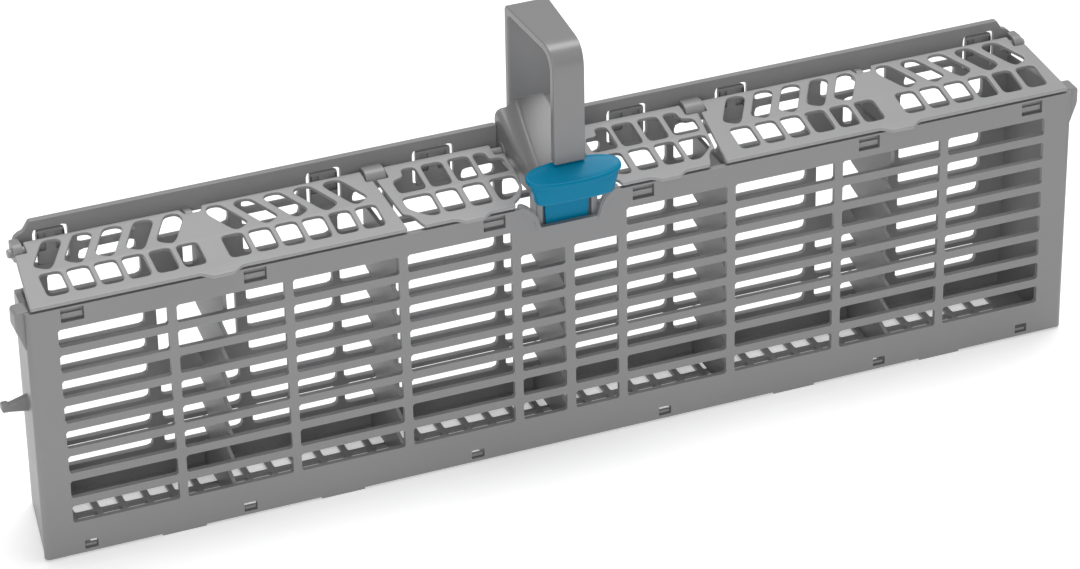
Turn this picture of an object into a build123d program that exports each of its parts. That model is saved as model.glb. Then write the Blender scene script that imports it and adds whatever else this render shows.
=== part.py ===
# Slim slotted basket with four hinged lids, a loop handle and a sliding latch.
# Millimetres, Z up, the slotted front faces -Y, the origin is under the middle of the base.
import math
import os
from build123d import *

os.makedirs("parts", exist_ok=True)

# Overall body
half_length = 254.0
front_y = -18.85
panel_thick = 2.5
panel_back_y = front_y + panel_thick
rear_face_y = front_y + 46.5
wall_thick = 3.0
rear_back_y = rear_face_y + wall_thick
foot_height = 1.0
deck_z = 118.3
rail_top_z = deck_z + 29.4
panel_top_z = deck_z + 10.8
end_taper = 8.0
rear_half = half_length - end_taper
fit_gap = 0.3

# Slots of the front panel, one row pitch shared with the rear wall
row_pitch = 13.09
row_height = 9.0
row_count = 8
end_frame = 14.0
column_bar = 4.0
outer_field = 82.0
outer_columns = 3
field_end = half_length - end_frame
column_pitch = (field_end - outer_field + column_bar) / outer_columns
front_columns = [(field_end - k * column_pitch, field_end - (k + 1) * column_pitch + column_bar)
                 for k in range(outer_columns)]
front_columns += [(outer_field - column_bar - 0.1, 27.9), (23.8, 2.2)]
slot_clip = 0.9
rear_side_columns = 5
rear_end_frame = 12.0
rear_pitch = (rear_half - rear_end_frame) / rear_side_columns
rear_rib = 6.0
rear_clip = 1.8

# Places along the length: the knuckle between the lids and the tongue of the wide lid, near its middle
knuckle_x = 76.5
lid_end_gap = 2.4
lid_gap = 0.7
tongue_shift = 0.1
wide_mid = (half_length - lid_end_gap + knuckle_x + lid_gap) / 2 + tongue_shift
wide_half = half_length - lid_end_gap - wide_mid

# Snap windows and tongues
top_windows = (36.2, wide_mid - 15.3, half_length - 21.0)
top_window_size = (10.6, 6.6)
top_window_z = deck_z + 6.7
low_windows = (46.8, wide_mid - 7.3, half_length - 21.6)
low_window_size = (6.2, 4.6)
low_window_z = deck_z - 113.4
tongue_gap = 0.9

# Lids
lid_slope = 0.18
lid_thick = 2.0
lid_front_z = deck_z + 13.5
lid_rear_y = front_y + 44.0
hinge_y = front_y + 42.0
hinge_z = deck_z + 18.0
pin_radius = 2.1
pin_clearance = 0.08
knuckle_half = 1.4
outer_pin_end = half_length - 4.6
lid_slot_clip = 1.9

# Handle
handle_rear_half = 10.5
handle_front_half = 7.5
handle_top_z = deck_z + 88.2
strap_thick = 4.0
leg_front_y = front_y - 1.4
leg_bottom_z = deck_z + 30.7
handle_back_y = front_y + 50.0
yoke_half = 16.4
yoke_front_y = front_y + 9.0
seat_z = deck_z + 12.0

# Latch
latch_half = 22.9
latch_slope = 0.3
latch_front_y = front_y - 12.3
latch_rear_y = front_y + 2.4
latch_level = deck_z + 30.5
tab_front_y = front_y + 2.9
tab_thick = 2.0
tab_bottom_z = deck_z - 6.0
guide_bottom_z = deck_z - 12.0

# Cross dividers
divider_pitch = (half_length - 9.5) / 3
divider_xs = [k * divider_pitch for k in range(-2, 3)]
divider_thick = 2.0
floor_thick = 2.2
floor_top_z = foot_height + floor_thick


def end_x(y):
    """Outer half length of the tapered end walls at the depth y."""
    return half_length - (half_length - rear_half) * (y - front_y) / (rear_back_y - front_y)


def clipped(width, height, clip):
    """Corner points of a rectangle with its corners cut off, centred on zero."""
    a = width / 2
    b = height / 2
    return [(a, b - clip), (a - clip, b), (clip - a, b), (-a, b - clip),
            (-a, clip - b), (clip - a, -b), (a - clip, -b), (a, clip - b)]


def row_z(k):
    """Middle height of one row of slots."""
    return deck_z - k * row_pitch - row_height / 2


def moved(points, x, y):
    """The same outline shifted in its sketch plane."""
    return [(u + x, v + y) for u, v in points]


def grille(outline, holes):
    """One flat face with all its openings."""
    inner = [Wire.make_polygon([(u, v, 0) for u, v in hole], close=True) for hole in holes]
    return Face(Wire.make_polygon([(u, v, 0) for u, v in outline], close=True), inner)


def both(values):
    """The same positions on the left and on the right."""
    return [s * v for v in values for s in (-1, 1)]


# Front panel: one moulding with the slot field, the snap windows and the dip for the latch
dip_points = [(-24.4, panel_top_z), (-24.0, deck_z + 12.6), (-22.4, deck_z + 12.6), (-19.6, deck_z + 10.8),
              (-17.0, deck_z + 8.2), (-15.2, deck_z + 5.0), (-14.0, deck_z + 0.4), (-13.4, deck_z - 0.6)]
panel_outline = [(-half_length, foot_height), (half_length, foot_height), (half_length, panel_top_z)]
panel_outline += [(-x, z) for x, z in dip_points]
panel_outline += [(x, z) for x, z in reversed(dip_points)]
panel_outline += [(-half_length, panel_top_z)]
panel_holes = []
for outer, inner in front_columns:
    first = 1 if outer < yoke_half * 2 else 0
    shape = clipped(outer - inner, row_height, slot_clip)
    panel_holes += [moved(shape, s * (outer + inner) / 2, row_z(k))
                    for k in range(first, row_count) for s in (-1, 1)]
panel_holes += [moved(clipped(*top_window_size, 0.2), x, top_window_z) for x in both(top_windows)]
panel_holes += [moved(clipped(*low_window_size, 0.2), x, low_window_z) for x in both(low_windows)]
with BuildPart() as front_panel:
    with BuildSketch(Plane.XZ.offset(-panel_back_y)):
        add(grille(panel_outline, panel_holes))
    extrude(amount=panel_thick)
    corners = front_panel.edges().filter_by(Axis.Z).group_by(Axis.Y)[0].sort_by(Axis.X)
    fillet([corners[0], corners[-1]], radius=panel_thick - 0.3)
    # The rim that follows the dip stands a little proud of the face
    with BuildSketch(Plane.XZ.offset(-front_y - 0.4)):
        for s in (-1, 1):
            rim = [(s * (x - 0.5), z - 0.5) for x, z in dip_points[2:]]
            Polygon(*rim, *[(x - s * 1.2, z - 1.0) for x, z in reversed(rim)], align=None)
    extrude(amount=0.9)
front_panel.part.label = "front_panel"
export_step(front_panel.part, "parts/front_panel.step")

# Basket shell: rear wall with its rail, the tapered ends, the grid floor and the feet
rear_outline = [(rear_half, foot_height), (rear_half, deck_z + 14.0), (rear_half - 0.2, deck_z + 18.6),
                (rear_half - 1.6, deck_z + 22.4), (rear_half - 3.9, deck_z + 24.2),
                (rear_half - 5.8, deck_z + 24.6), (rear_half - 8.8, rail_top_z)]
arm_xs = (47.4, knuckle_x + 23.5, rear_half - 19.0)
arm_width = 13.6
slit = 2.2
arm_top_z = deck_z + 25.4
arm_root_z = deck_z + 13.0
notch_half = yoke_half + fit_gap
wall_outline = [(x, z) for x, z in rear_outline] + [(notch_half, rail_top_z), (notch_half, seat_z)]
wall_outline += [(-x, z) for x, z in reversed(wall_outline)]
wall_holes = [moved(clipped(rear_pitch - rear_rib, row_height, rear_clip), (c + 0.5) * rear_pitch, row_z(k))
              for k in range(row_count) for c in range(-rear_side_columns, rear_side_columns)]
for x in both(arm_xs):
    half = arm_width / 2
    wall_holes.append([(x - half - slit, arm_root_z), (x - half - slit, arm_top_z),
                       (x - half, arm_top_z + slit), (x + half, arm_top_z + slit),
                       (x + half + slit, arm_top_z + slit),
                       (x + half + slit, arm_root_z), (x + half, arm_root_z), (x + half, arm_top_z),
                       (x - half + 1.0, arm_top_z), (x - half, arm_top_z - 1.0), (x - half, arm_root_z)])
floor_outline = [(1.0 - end_x(panel_back_y), panel_back_y), (end_x(panel_back_y) - 1.0, panel_back_y),
                 (end_x(rear_face_y) - 1.0, rear_face_y + 0.5), (1.0 - end_x(rear_face_y), rear_face_y + 0.5)]
floor_side_columns = 18
floor_pitch = (half_length - 25.4) / floor_side_columns
floor_holes = [moved(clipped(floor_pitch - 3.1, 9.6, 0.3), (c + 0.5) * floor_pitch, front_y + 11.0 + r * 13.4)
               for r in range(3) for c in range(-floor_side_columns, floor_side_columns)]
with BuildPart() as basket_shell:
    # Tapered end walls, cut off under the slope of the lids
    with BuildSketch(Plane.XY.offset(foot_height)):
        for s in (-1, 1):
            Polygon((s * end_x(panel_back_y), panel_back_y), (s * end_x(rear_back_y), rear_back_y),
                    (s * (end_x(rear_back_y) - wall_thick), rear_back_y),
                    (s * (end_x(panel_back_y) - wall_thick), panel_back_y), align=None)
    extrude(amount=deck_z + 19.0 - foot_height)
    end_top = deck_z + 10.3
    with BuildSketch(Plane.YZ.offset(-half_length)):
        Polygon((panel_back_y - 1.0, end_top),
                (rear_face_y, end_top + lid_slope * (rear_face_y - panel_back_y)),
                (rear_face_y, rail_top_z), (panel_back_y - 1.0, rail_top_z), align=None)
    extrude(amount=2 * half_length, mode=Mode.SUBTRACT)
    # Front frame rail behind the top band of the panel, open in the middle for the latch
    with BuildSketch(Plane.XZ.offset(-panel_back_y - 2.0)):
        for s in (-1, 1):
            Polygon((s * 24.0, deck_z + 1.0), (s * (half_length - wall_thick), deck_z + 1.0),
                    (s * (half_length - wall_thick), deck_z + 11.2),
                    (s * 27.0, deck_z + 11.2), (s * 24.0, deck_z + 9.0), align=None)
    extrude(amount=2.0)
    # Tongues that snap into the windows of the front panel
    with BuildSketch(Plane.XZ.offset(-panel_back_y - 0.4)):
        with Locations(*[(x, top_window_z - 0.8) for x in both(top_windows)]):
            Rectangle(top_window_size[0] - tongue_gap, 2.6)
    extrude(amount=1.6)
    # Hinge bosses in the ends
    boss_x = half_length - 9.0
    for s in (-1, 1):
        with BuildSketch(Plane.YZ.offset(s * boss_x - 2.2)):
            with Locations((hinge_y, hinge_z)):
                Circle(4.4)
            Polygon((hinge_y - 4.4, hinge_z), (hinge_y - 4.4, hinge_z - 8.0),
                    (rear_face_y + 0.5, hinge_z - 8.0), (rear_face_y + 0.5, hinge_z), align=None)
        extrude(amount=4.4)
    # Knuckles between the lids
    for s in (-1, 1):
        with BuildSketch(Plane.YZ.offset(s * knuckle_x - knuckle_half)):
            with Locations((hinge_y, hinge_z)):
                Circle(3.6)
            Polygon((hinge_y, hinge_z - 3.6), (rear_face_y + 0.5, hinge_z - 8.0),
                    (rear_face_y + 0.5, hinge_z + 3.6), (hinge_y, hinge_z + 3.6), align=None)
        extrude(amount=2 * knuckle_half)
    with BuildSketch(Plane.YZ.offset(-half_length)):
        with Locations((hinge_y, hinge_z)):
            Circle(pin_radius + pin_clearance)
    extrude(amount=2 * half_length, mode=Mode.SUBTRACT)
    # Corner ears and side pegs, drawn from the end of the body and the deck
    ear = [(-2.4, 13.6), (2.6, 14.0), (4.2, 12.6), (3.6, 9.6), (0.6, 8.0),
           (0.6, 6.4), (2.8, 5.8), (2.8, 2.6), (-0.2, -0.6), (-2.4, -0.6)]
    peg = [(-7.0, -45.2), (-2.5, -46.2), (4.6, -48.2), (4.6, -47.2),
           (8.0, -47.2), (8.0, -51.2), (4.6, -51.4), (-7.0, -53.4)]
    for s in (-1, 1):
        with BuildSketch(Plane.XZ.offset(-panel_back_y - 8.6)):
            Polygon(*[(s * (half_length + x), deck_z + z) for x, z in ear], align=None)
        extrude(amount=8.4)
        with BuildSketch(Plane.XZ.offset(-front_y - 28.0)):
            Polygon(*[(s * (half_length + x), deck_z + z) for x, z in peg], align=None)
        extrude(amount=4.0)
    # Rear wall with its rail
    with BuildSketch(Plane.XZ.offset(-rear_back_y)):
        add(grille(wall_outline, wall_holes))
    extrude(amount=wall_thick)
    # Pockets beside the pad of each arm
    with BuildSketch(Plane.XZ.offset(-rear_face_y - 1.0)):
        with Locations(*[(x + d, deck_z + 20.6) for x in both(arm_xs) for d in (-4.3, 4.3)]):
            Rectangle(3.6, 7.0)
    extrude(amount=2.0, mode=Mode.SUBTRACT)
    # Floor grid with the low tongues and the feet
    with BuildSketch(Plane.XY.offset(foot_height)):
        add(grille(floor_outline, floor_holes))
    extrude(amount=floor_thick)
    with BuildSketch(Plane.XY):
        for x in both((knuckle_x + 36.3, wide_mid + 24.4)):
            with Locations((x, panel_back_y + 2.0), (x, rear_face_y - 1.0)):
                Rectangle(20.8, 4.0)
    extrude(amount=foot_height)
    with BuildSketch(Plane.XZ.offset(-panel_back_y - 0.4)):
        with Locations(*[(x, low_window_z - 1.2) for x in both(low_windows)]):
            Rectangle(low_window_size[0] - tongue_gap, 1.6)
    extrude(amount=1.6)
basket_shell.part.label = "basket_shell"
export_step(basket_shell.part, "parts/basket_shell.step")

# Cross dividers: perforated plates that stand between the front panel and the rear wall
for number, x in enumerate(divider_xs, start=1):
    top_z = guide_bottom_z if x == 0.0 else deck_z + 4.0
    front_edge = panel_back_y + fit_gap
    back_edge = rear_face_y - fit_gap
    with BuildPart() as divider:
        edge = [(front_edge, floor_top_z), (back_edge, floor_top_z), (back_edge, top_z),
                (front_edge + 9.0, top_z), (front_edge + 2.2, top_z - 9.0),
                (front_edge + 2.2, top_z - 20.0), (front_edge, top_z - 25.0)]
        openings = [moved(clipped(10.5, row_height, 0.8), front_y + 16.0 + c * 16.0, row_z(k))
                    for k in range(2, row_count) for c in range(2)]
        with BuildSketch(Plane.YZ.offset(x - divider_thick / 2)):
            add(grille(edge, openings))
        extrude(amount=divider_thick)
    divider.part.label = "divider_" + str(number)
    export_step(divider.part, "parts/divider_" + str(number) + ".step")


def lid_z(y):
    """Height of the upper face of the lids at the depth y."""
    return lid_front_z + lid_slope * (y - front_y)


lid_angle = math.degrees(math.atan(lid_slope))
lid_plane = Plane(origin=(0, front_y, lid_front_z), x_dir=(1, 0, 0),
                  z_dir=(0, -math.sin(math.radians(lid_angle)), math.cos(math.radians(lid_angle))))
along = 1.0 / math.cos(math.radians(lid_angle))


def plan(points):
    """Plan points measured from the front edge, moved onto the sloping lid plane."""
    return [(x, y * along) for x, y in points]


def tongue(x, half, reach):
    """Outline points of the finger tongue on the front edge of a lid."""
    return [(x - half, 0.0), (x - half * 0.62, -reach * 0.78), (x, -reach),
            (x + half * 0.62, -reach * 0.78), (x + half, 0.0)]


wide_front_count = 6
wide_rear_count = 5
wide_front_slots = [10.9 + (wide_half - 12.34) / wide_front_count * k for k in range(wide_front_count)]
wide_rear_slots = [14.0 + (wide_half - 17.6) / wide_rear_count * k for k in range(wide_rear_count)]
# The slots of the narrow lid are drawn for this width and spread when the lid grows
narrow_slots = (28.2, 41.2, 54.1, 67.2)
narrow_drawn = 58.4


def outer_lid(side):
    """A wide lid, side -1 on the left and 1 on the right."""
    inner = knuckle_x + lid_gap
    end = half_length - lid_end_gap
    mid = wide_mid
    outline = [(inner, 0.0)] + tongue(mid, 10.4, 4.6)
    outline += [(end, 0.0), (end - 4.2, 35.5), (end - 10.4, 36.6), (end - 10.4, 44.0),
                (mid + 4.5, 44.0), (mid + 3.5, 40.6), (mid - 3.5, 40.6), (mid - 4.5, 44.0),
                (inner + 4.4, 44.0), (inner + 4.4, 37.2), (inner, 37.2)]
    holes = [moved(clipped(8.4, 13.2, lid_slot_clip), mid + s * x, 13.0)
             for x in wide_front_slots for s in (-1, 1)]
    lean = [(-4.6, -5.8), (-2.9, -7.0), (2.4, -7.6), (4.0, -6.4),
            (4.6, 5.6), (3.2, 7.6), (-2.6, 7.6), (-4.6, 5.6)]
    holes += [[(mid + s * (x - u - v * 0.5), 32.3 + v) for u, v in lean]
              for x in wide_rear_slots for s in (-1, 1)]
    with BuildPart() as lid:
        with BuildSketch(lid_plane.offset(-lid_thick)):
            add(grille(plan([(side * x, y) for x, y in outline]),
                       [plan([(side * x, y) for x, y in hole]) for hole in holes]))
        extrude(amount=lid_thick)
        for x_from, x_to in ((end - 11.6, outer_pin_end), (knuckle_x + 0.15, inner + 5.4)):
            with BuildSketch(Plane.YZ.offset(side * x_from if side > 0 else -x_to)):
                with Locations((hinge_y, hinge_z)):
                    Circle(pin_radius)
            extrude(amount=x_to - x_from)
        # Necks that join the pins to the lid
        for x_from, x_to in ((end - 15.6, end - 10.4), (inner + 4.4, inner + 9.0)):
            with BuildSketch(Plane.YZ.offset(side * x_from if side > 0 else -x_to)):
                with Locations((hinge_y, hinge_z)):
                    Circle(pin_radius)
                Polygon((hinge_y - pin_radius, hinge_z), (hinge_y + 1.6, hinge_z),
                        (hinge_y + 1.6, lid_z(hinge_y) - 1.0), (hinge_y - pin_radius, lid_z(hinge_y) - 1.0),
                        align=None)
            extrude(amount=x_to - x_from)
    return lid.part


def inner_lid(side):
    """A narrow lid beside the handle, side -1 on the left and 1 on the right."""
    outer = knuckle_x - lid_gap
    inner = 17.4
    width = outer - inner
    outline = [(25.8, 0.0)] + tongue(inner + width / 2, 9.0, 4.2)
    outline += [(outer - 6.6, 0.0), (outer - 5.2, 2.6), (outer - 4.4, 6.0), (outer - 3.2, 8.6),
                (outer, 10.4), (outer, 37.2), (outer - 4.4, 37.2), (outer - 4.4, 44.0), (21.4, 44.0),
                (21.4, 37.2), (inner, 36.6), (19.6, 10.0), (21.6, 5.6), (25.2, 2.9)]
    holes = [moved(clipped(9.6, 13.6, lid_slot_clip), x, 31.6) for x in narrow_slots[1:3]]
    holes += [moved(clipped(9.4, 13.0, lid_slot_clip), x, 13.2) for x in narrow_slots[:3]]
    # The slots beside the corners follow the corner shapes
    holes.append([(24.0, 25.0), (31.0, 25.0), (33.0, 27.0), (33.0, 36.4), (31.0, 38.4), (28.6, 38.4),
                  (27.4, 34.6), (23.6, 34.6), (22.4, 33.2), (22.4, 26.6)])
    holes.append([(63.8, 24.8), (70.4, 24.8), (72.0, 26.6), (72.0, 32.8), (68.8, 33.6), (68.4, 38.4),
                  (63.8, 38.4), (62.4, 36.8), (62.4, 26.4)])
    holes.append([(62.6, 8.0), (64.2, 6.6), (66.8, 6.8), (68.6, 10.6), (71.6, 13.8), (71.6, 17.8),
                  (69.8, 19.6), (64.2, 19.6), (62.6, 18.0)])
    holes = [[(inner + (x - inner) * width / narrow_drawn, y) for x, y in hole] for hole in holes]
    with BuildPart() as lid:
        with BuildSketch(lid_plane.offset(-lid_thick)):
            add(grille(plan([(side * x, y) for x, y in outline]),
                       [plan([(side * x, y) for x, y in hole]) for hole in holes]))
        extrude(amount=lid_thick)
        for x_from, x_to in ((outer - 5.4, knuckle_x - 0.15), (15.4, 22.4)):
            with BuildSketch(Plane.YZ.offset(side * x_from if side > 0 else -x_to)):
                with Locations((hinge_y, hinge_z)):
                    Circle(pin_radius)
            extrude(amount=x_to - x_from)
        for x_from, x_to in ((outer - 8.6, outer - 4.4), (21.4, 25.0)):
            with BuildSketch(Plane.YZ.offset(side * x_from if side > 0 else -x_to)):
                with Locations((hinge_y, hinge_z)):
                    Circle(pin_radius)
                Polygon((hinge_y - pin_radius, hinge_z), (hinge_y + 1.6, hinge_z),
                        (hinge_y + 1.6, lid_z(hinge_y) - 1.0), (hinge_y - pin_radius, lid_z(hinge_y) - 1.0),
                        align=None)
            extrude(amount=x_to - x_from)
    return lid.part


for name, side in (("left", -1), ("right", 1)):
    wide = outer_lid(side)
    wide.label = "lid_outer_" + name
    export_step(wide, "parts/lid_outer_" + name + ".step")
    narrow = inner_lid(side)
    narrow.label = "lid_inner_" + name
    export_step(narrow, "parts/lid_inner_" + name + ".step")

# Handle: a closed strap loop that narrows to the front, on a yoke that spreads over the rear rail
loop_bottom_z = deck_z + 38.0
with BuildPart() as handle:
    # Rear leg
    with BuildSketch(Plane.XZ.offset(-handle_back_y)):
        Polygon((-handle_rear_half, seat_z), (handle_rear_half, seat_z), (handle_rear_half, handle_top_z),
                (-handle_rear_half, handle_top_z), align=None)
    extrude(amount=strap_thick)
    # Top strap, narrower to the front
    with BuildSketch(Plane.XY.offset(handle_top_z - strap_thick)):
        Polygon((-handle_rear_half, handle_back_y), (handle_rear_half, handle_back_y),
                (handle_front_half, leg_front_y), (-handle_front_half, leg_front_y), align=None)
    extrude(amount=strap_thick)
    # Front leg
    with BuildSketch(Plane.XY.offset(leg_bottom_z)):
        Polygon((-handle_front_half, leg_front_y), (handle_front_half, leg_front_y),
                (handle_front_half + 0.6, leg_front_y + strap_thick),
                (-handle_front_half - 0.6, leg_front_y + strap_thick), align=None)
    extrude(amount=handle_top_z - leg_bottom_z)
    top_edges = handle.edges().filter_by(Axis.X).group_by(Axis.Z)[-1].sort_by(Axis.Y)
    fillet(top_edges[-1], radius=5.0)
    top_edges = handle.edges().filter_by(Axis.X).group_by(Axis.Z)[-1].sort_by(Axis.Y)
    fillet(top_edges[0], radius=9.0)
    # Yoke, a hood that falls from the rear leg to the latch guide
    rear_shape = [(-yoke_half, seat_z), (-yoke_half, deck_z + 33.0), (-14.6, deck_z + 37.0),
                  (-10.4, deck_z + 45.5), (10.4, deck_z + 45.5), (14.6, deck_z + 37.0),
                  (yoke_half, deck_z + 33.0), (yoke_half, seat_z)]
    front_shape = [(-14.8, seat_z), (-14.8, deck_z + 21.5), (-13.0, deck_z + 24.0), (-9.0, deck_z + 26.0),
                   (9.0, deck_z + 26.0), (13.0, deck_z + 24.0), (14.8, deck_z + 21.5), (14.8, seat_z)]
    with BuildSketch(Plane.XZ.offset(-rear_face_y + 0.5)):
        Polygon(*rear_shape, align=None)
    with BuildSketch(Plane.XZ.offset(-yoke_front_y)):
        Polygon(*front_shape, align=None)
    loft(ruled=True)
    with BuildSketch(Plane.XZ.offset(-handle_back_y)):
        Polygon(*[p for p in rear_shape if p[1] < deck_z + 40.0], align=None)
    extrude(amount=handle_back_y - rear_face_y + 0.5)
    # The hood is hollow from below
    with BuildSketch(Plane.XZ.offset(-rear_face_y + 3.0)):
        Polygon((-yoke_half + 2.6, seat_z - 1.0), (-yoke_half + 2.6, deck_z + 30.0), (-9.0, deck_z + 39.0),
                (9.0, deck_z + 39.0), (yoke_half - 2.6, deck_z + 30.0), (yoke_half - 2.6, seat_z - 1.0),
                align=None)
    with BuildSketch(Plane.XZ.offset(-yoke_front_y - 2.4)):
        Polygon((-12.2, seat_z - 1.0), (-12.2, deck_z + 20.6), (-9.0, deck_z + 24.0), (9.0, deck_z + 24.0),
                (12.2, deck_z + 20.6), (12.2, seat_z - 1.0), align=None)
    loft(ruled=True, mode=Mode.SUBTRACT)
    # Bosses that carry the inner hinge pins
    with BuildSketch(Plane.YZ.offset(-yoke_half)):
        with Locations((hinge_y, hinge_z)):
            Circle(4.4)
    extrude(amount=3.4)
    with BuildSketch(Plane.YZ.offset(yoke_half - 3.4)):
        with Locations((hinge_y, hinge_z)):
            Circle(4.4)
    extrude(amount=3.4)
    for s in (-1, 1):
        with BuildSketch(Plane.YZ.offset(15.1 if s > 0 else -17.5)):
            with Locations((hinge_y, hinge_z)):
                Circle(pin_radius + pin_clearance)
        extrude(amount=2.4, mode=Mode.SUBTRACT)
    # Guide channel for the latch, standing on the middle divider
    guide_back_y = tab_front_y + tab_thick + fit_gap
    with BuildSketch(Plane.XY.offset(guide_bottom_z)):
        Polygon((-14.8, tab_front_y - 0.2), (-11.8, tab_front_y - 0.2), (-11.8, guide_back_y),
                (11.8, guide_back_y), (11.8, tab_front_y - 0.2), (14.8, tab_front_y - 0.2),
                (14.8, yoke_front_y + 2.4), (-14.8, yoke_front_y + 2.4), align=None)
    extrude(amount=deck_z + 21.5 - guide_bottom_z)
handle.part.label = "handle"
export_step(handle.part, "parts/handle.step")

# Latch: a dished racetrack button with a skirt and a tab that slides in the guide
latch_angle = math.atan(latch_slope)
latch_mid_y = (latch_front_y + latch_rear_y) / 2
button_depth = (latch_rear_y - latch_front_y) / math.cos(latch_angle)
button_plane = Plane(origin=(0, latch_mid_y, latch_level + latch_slope * (latch_mid_y - front_y)),
                     x_dir=(1, 0, 0), z_dir=(0, -math.sin(latch_angle), math.cos(latch_angle)))
skirt_front_y = latch_front_y + 1.8
skirt_rear_y = latch_rear_y - 1.2
skirt_bottom_z = deck_z + 15.8
skirt_width = 2 * latch_half - 7.4
with BuildPart() as latch:
    with BuildSketch(button_plane.offset(-2.4)):
        SlotOverall(2 * latch_half, button_depth)
    extrude(amount=2.4)
    with BuildSketch(button_plane.offset(-0.9)):
        SlotOverall(2 * latch_half - 3.2, button_depth - 3.2)
    extrude(amount=2.0, mode=Mode.SUBTRACT)
    # The rim is open behind, under the front leg of the handle
    with BuildSketch(button_plane.offset(-0.9)):
        with Locations((0, button_depth / 2)):
            Rectangle(2 * handle_front_half + 2.4, 5.0)
    extrude(amount=2.0, mode=Mode.SUBTRACT)
    with BuildSketch(Plane.XY.offset(skirt_bottom_z)):
        with Locations((0, (skirt_front_y + skirt_rear_y) / 2)):
            RectangleRounded(skirt_width, skirt_rear_y - skirt_front_y, 4.6)
    extrude(amount=12.0)
    with BuildSketch(Plane.XY.offset(skirt_bottom_z)):
        with Locations((0, (skirt_front_y + skirt_rear_y) / 2)):
            RectangleRounded(skirt_width - 4.0, skirt_rear_y - skirt_front_y - 4.0, 2.6)
    extrude(amount=9.0, mode=Mode.SUBTRACT)
    with BuildSketch(Plane.XY.offset(skirt_bottom_z)):
        Polygon((-11.2, skirt_rear_y - 1.0), (11.2, skirt_rear_y - 1.0), (11.2, tab_front_y + tab_thick),
                (-11.2, tab_front_y + tab_thick), align=None)
    extrude(amount=9.0)
    with BuildSketch(Plane.XZ.offset(-tab_front_y - tab_thick)):
        Polygon((-10.2, tab_bottom_z), (10.2, tab_bottom_z), (11.4, skirt_bottom_z + 1.0),
                (-11.4, skirt_bottom_z + 1.0), align=None)
    extrude(amount=tab_thick)
latch.part.label = "latch"
export_step(latch.part, "parts/latch.step")
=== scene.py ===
import math
import bmesh
import bpy
import numpy as np
from mathutils import Matrix, Vector


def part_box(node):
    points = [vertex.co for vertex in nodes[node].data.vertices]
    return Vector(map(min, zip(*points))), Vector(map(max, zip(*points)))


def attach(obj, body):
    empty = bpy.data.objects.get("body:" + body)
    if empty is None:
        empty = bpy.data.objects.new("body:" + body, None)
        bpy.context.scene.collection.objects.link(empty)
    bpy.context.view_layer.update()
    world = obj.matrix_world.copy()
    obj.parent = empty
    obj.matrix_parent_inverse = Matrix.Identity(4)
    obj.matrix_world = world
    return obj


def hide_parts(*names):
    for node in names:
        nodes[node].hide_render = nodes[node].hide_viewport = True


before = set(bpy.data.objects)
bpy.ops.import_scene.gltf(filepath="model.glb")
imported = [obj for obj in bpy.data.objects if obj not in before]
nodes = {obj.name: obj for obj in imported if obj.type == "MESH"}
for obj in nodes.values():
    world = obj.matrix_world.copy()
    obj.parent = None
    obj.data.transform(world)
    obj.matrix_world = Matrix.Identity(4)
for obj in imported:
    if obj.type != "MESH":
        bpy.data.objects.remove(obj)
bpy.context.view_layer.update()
print("frame loaded:", len(nodes), "nodes")

# camera
# solved from the straight edges and slot rows of the photo, image taken as 1080 x 569
camera = {
    "place": (-0.6558, -1.65035, 1.1415),
    "right": (0.9274, -0.3737, -0.0145),
    "down": (-0.204, -0.4731, -0.857),
    "ahead": (0.3134, 0.7978, -0.5151),
    "lens": 150.46,
}
camData = bpy.data.cameras.new("photoCamera")
camData.lens = camera["lens"]
camData.sensor_fit = "HORIZONTAL"
camData.sensor_width = 36.0
camData.clip_start = 0.05
camData.clip_end = 60.0
camObject = bpy.data.objects.new("photoCamera", camData)
bpy.context.scene.collection.objects.link(camObject)
turn = Matrix((camera["right"], [-v for v in camera["down"]], [-v for v in camera["ahead"]])).transposed()
camObject.matrix_world = Matrix.Translation(camera["place"]) @ turn.to_4x4()
bpy.context.scene.camera = camObject
print("camera placed")


# shader groups
def newGroup(name, inputs, outputs):
    # an empty node group with float or colour sockets
    group = bpy.data.node_groups.new(name, "ShaderNodeTree")
    for label, kind, value in inputs:
        socket = group.interface.new_socket(name=label, in_out="INPUT", socket_type=kind)
        socket.default_value = value
    for label, kind in outputs:
        group.interface.new_socket(name=label, in_out="OUTPUT", socket_type=kind)
    start = group.nodes.new("NodeGroupInput")
    end = group.nodes.new("NodeGroupOutput")
    return group, start, end


def link(tree, a, b):
    # join an output to an input
    tree.links.new(a, b)


def mathNode(tree, kind, a, b):
    # one Math node, each side a number or another node's output
    n = tree.nodes.new("ShaderNodeMath")
    n.operation = kind
    for socket, v in zip(n.inputs, (a, b)):
        if isinstance(v, (int, float)):
            socket.default_value = v
        else:
            link(tree, v, socket)
    return n.outputs[0]


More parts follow.
